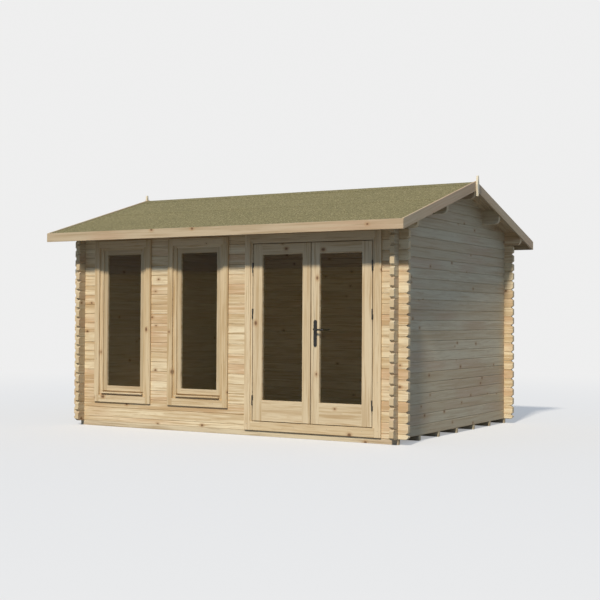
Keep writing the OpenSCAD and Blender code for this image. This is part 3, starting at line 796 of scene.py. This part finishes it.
def make_pins(nail):
    """Lost-head nails along the trims and the bargeboards."""
    build = bmesh.new()
    front = Vector((0, -1, 0))

    def pin(place, out):
        nail_head(build, Vector(place), out, PIN_R, 0.0004)

    low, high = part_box("window_trims")
    side_x = SASH_XS[0] - low.x - WINDOW_TRIM_W / 2
    for x in SASH_XS:
        for z in spread(low.z + PIN_IN, high.z - PIN_IN, 0.4):
            for side in (-1, 1):
                pin((x + side * side_x, low.y, z), front)
        for z in (low.z + 0.036, high.z - 0.036):
            for across in (-0.2, 0.0, 0.2):
                pin((x + across, low.y, z), front)
    low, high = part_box("door_trim")
    for z in spread(low.z + PIN_IN, high.z - PIN_IN, 0.45):
        for x in (low.x + DOOR_TRIM_W / 2, high.x - DOOR_TRIM_W / 2):
            pin((x, low.y, z), front)
    for z in (low.z + 0.05, high.z - 0.033):
        for x in spread(low.x + 0.2, high.x - 0.2, 0.4):
            pin((x, low.y, z), front)
    for name, end in (("left_bargeboard_front", -1), ("right_bargeboard_front", 1)):
        low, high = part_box(name)
        face = high.x if end > 0 else low.x
        middle = high.z - (high.z - low.z + low.y * SLOPE) / 2  # of the board's height, at the ridge
        for y in spread(-low.y - BARGE_PIN_IN, -0.04, BARGE_PIN_STEP):
            for side in (-1, 1):
                for up in (-BARGE_PIN_UP, BARGE_PIN_UP):
                    pin((face, side * y, middle - abs(y) * SLOPE + up), Vector((end, 0, 0)))
    piece("joinery_pins", build, nail, smooth=True)


# ---- Dressing the frame ----

EDGE = 0.0015  # softened edge of planed wood


def dress(node, material, bevel=0.0):
    """Gives a CAD node its material and a small softened edge."""
    thing = NODES[node]
    thing.data.materials.clear()
    thing.data.materials.append(material)
    if bevel:
        weld = thing.modifiers.new("weld", "WELD")
        weld.merge_threshold = 0.00005
        soften(thing, bevel)


def dress_walls():
    long_log = wood("long_wall_pine", LOG, "X", COURSE, LONG_JOINT, seed=2.0, joint_shade_and_dirt=0.25)
    # The gable walls carry painted shade in their darker, cooler tones
    gable_log = wood("gable_wall_pine", SHADED_LOG, "Y", COURSE, GABLE_JOINT, seed=3.0, joint_shade_and_dirt=0.1,
                     streaks=0.7)
    for half in ("odd", "even"):
        for side in ("front", "back"):
            dress(f"{side}_wall_logs_{half}", long_log)
        for side in ("left", "right"):
            dress(f"{side}_wall_logs_{half}", gable_log)
    for side in ("front", "back"):
        dress(f"{side}_wall_plate", long_log)
    # The purlins take the same tones, with their painted shade
    beam = wood("purlin_pine", SHADED_LOG, "X", seed=6.0)
    for node in ("ridge_purlin", "front_purlin", "back_purlin"):
        dress(node, beam, 0.002)
    dress("floor_bearers", wood("bearer_pine", BEARER, "X", seed=8.0, rough=0.8), 0.002)


def dress_roof_edges():
    fascia = wood("fascia_pine", FASCIA, "X", seed=17.0, streaks=0.8)
    barge = wood("bargeboard_pine", FASCIA, "Y", slope=SLOPE, seed=19.0, streaks=0.8)
    for side in ("front", "back"):
        dress(f"{side}_fascia", fascia, EDGE)
        for end in ("left", "right"):
            dress(f"{end}_bargeboard_{side}", barge, EDGE)
    dress("finials", wood("finial_pine", FINIAL, "Z", seed=23.0, streaks=0.5), EDGE)


LEAF_GAP = 0.008
WINDOW_TURN = 0.041  # from a sash's edge out to where the trim's grain turns upright
DOOR_TURN = 0.022  # the same from the edge of the door's opening


def dress_joinery():
    """Trims, frames, sashes and leaves. Gives back the woods of the sashes and of each leaf."""
    windows = (SASH_MID, SASH_APART)
    door_half = DOOR_RIGHT - DOOR_X + LEAF_GAP
    for node, name, framed in (
        ("window_trims", "window_trim_pine", (*windows, SASH_HALF + WINDOW_TURN)),
        ("window_frames", "window_frame_pine", (*windows, SASH_HALF)),
        ("door_trim", "door_trim_pine", (DOOR_X, 0.0, door_half + DOOR_TURN)),
        ("door_frame", "door_frame_pine", (DOOR_X, 0.0, door_half)),
    ):
        dress(node, wood(name, TRIM, framed=framed, seed=29.0, knot_every=0.5, knot_size=0.017), EDGE)
    # The sashes and their beads carry painted shade in their darker tones
    sash_wood = wood("sash_pine", SHADED_SASH, framed=(*windows, SASH_HALF - SASH_BAR), seed=41.0,
                     knot_every=0.8)
    for side in ("left", "right"):
        dress(f"{side}_window_sash", sash_wood, EDGE)
    leaf_woods = {}
    for side, seed in (("left", 43.0), ("right", 47.0)):
        low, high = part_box(f"{side}_door_pane")
        framed = ((low.x + high.x) / 2, 0.0, (high.x - low.x) / 2)
        leaf_woods[side] = wood(f"{side}_leaf_pine", LEAF, framed=framed, seed=seed, knot_every=0.45,
                                knot_size=0.017)
        dress(f"{side}_door_leaf", leaf_woods[side], EDGE)
    return sash_wood, leaf_woods


def dress_fittings(metal):
    glass = glass_material()
    for node in ("window_panes", "left_door_pane", "right_door_pane"):
        dress(node, glass)
    for node in ("frame_hinges", "left_door_hinges", "right_door_hinges", "handle_plates"):
        dress(node, metal, 0.0008)


bpy.context.scene.view_settings.view_transform = "Standard"
make_camera()
make_world()
make_floor()
make_sun()

dress_walls()
dress_roof_edges()
sash_pine, leaf_pines = dress_joinery()
iron = black_metal()
zinc = nail_material()
dress_fittings(iron)

make_roof_boards()
make_floor_boards()
make_felt(felt_material(), zinc)
make_beads(sash_pine, leaf_pines)
make_lever(iron)
make_plate_screws(iron)
make_pins(zinc)
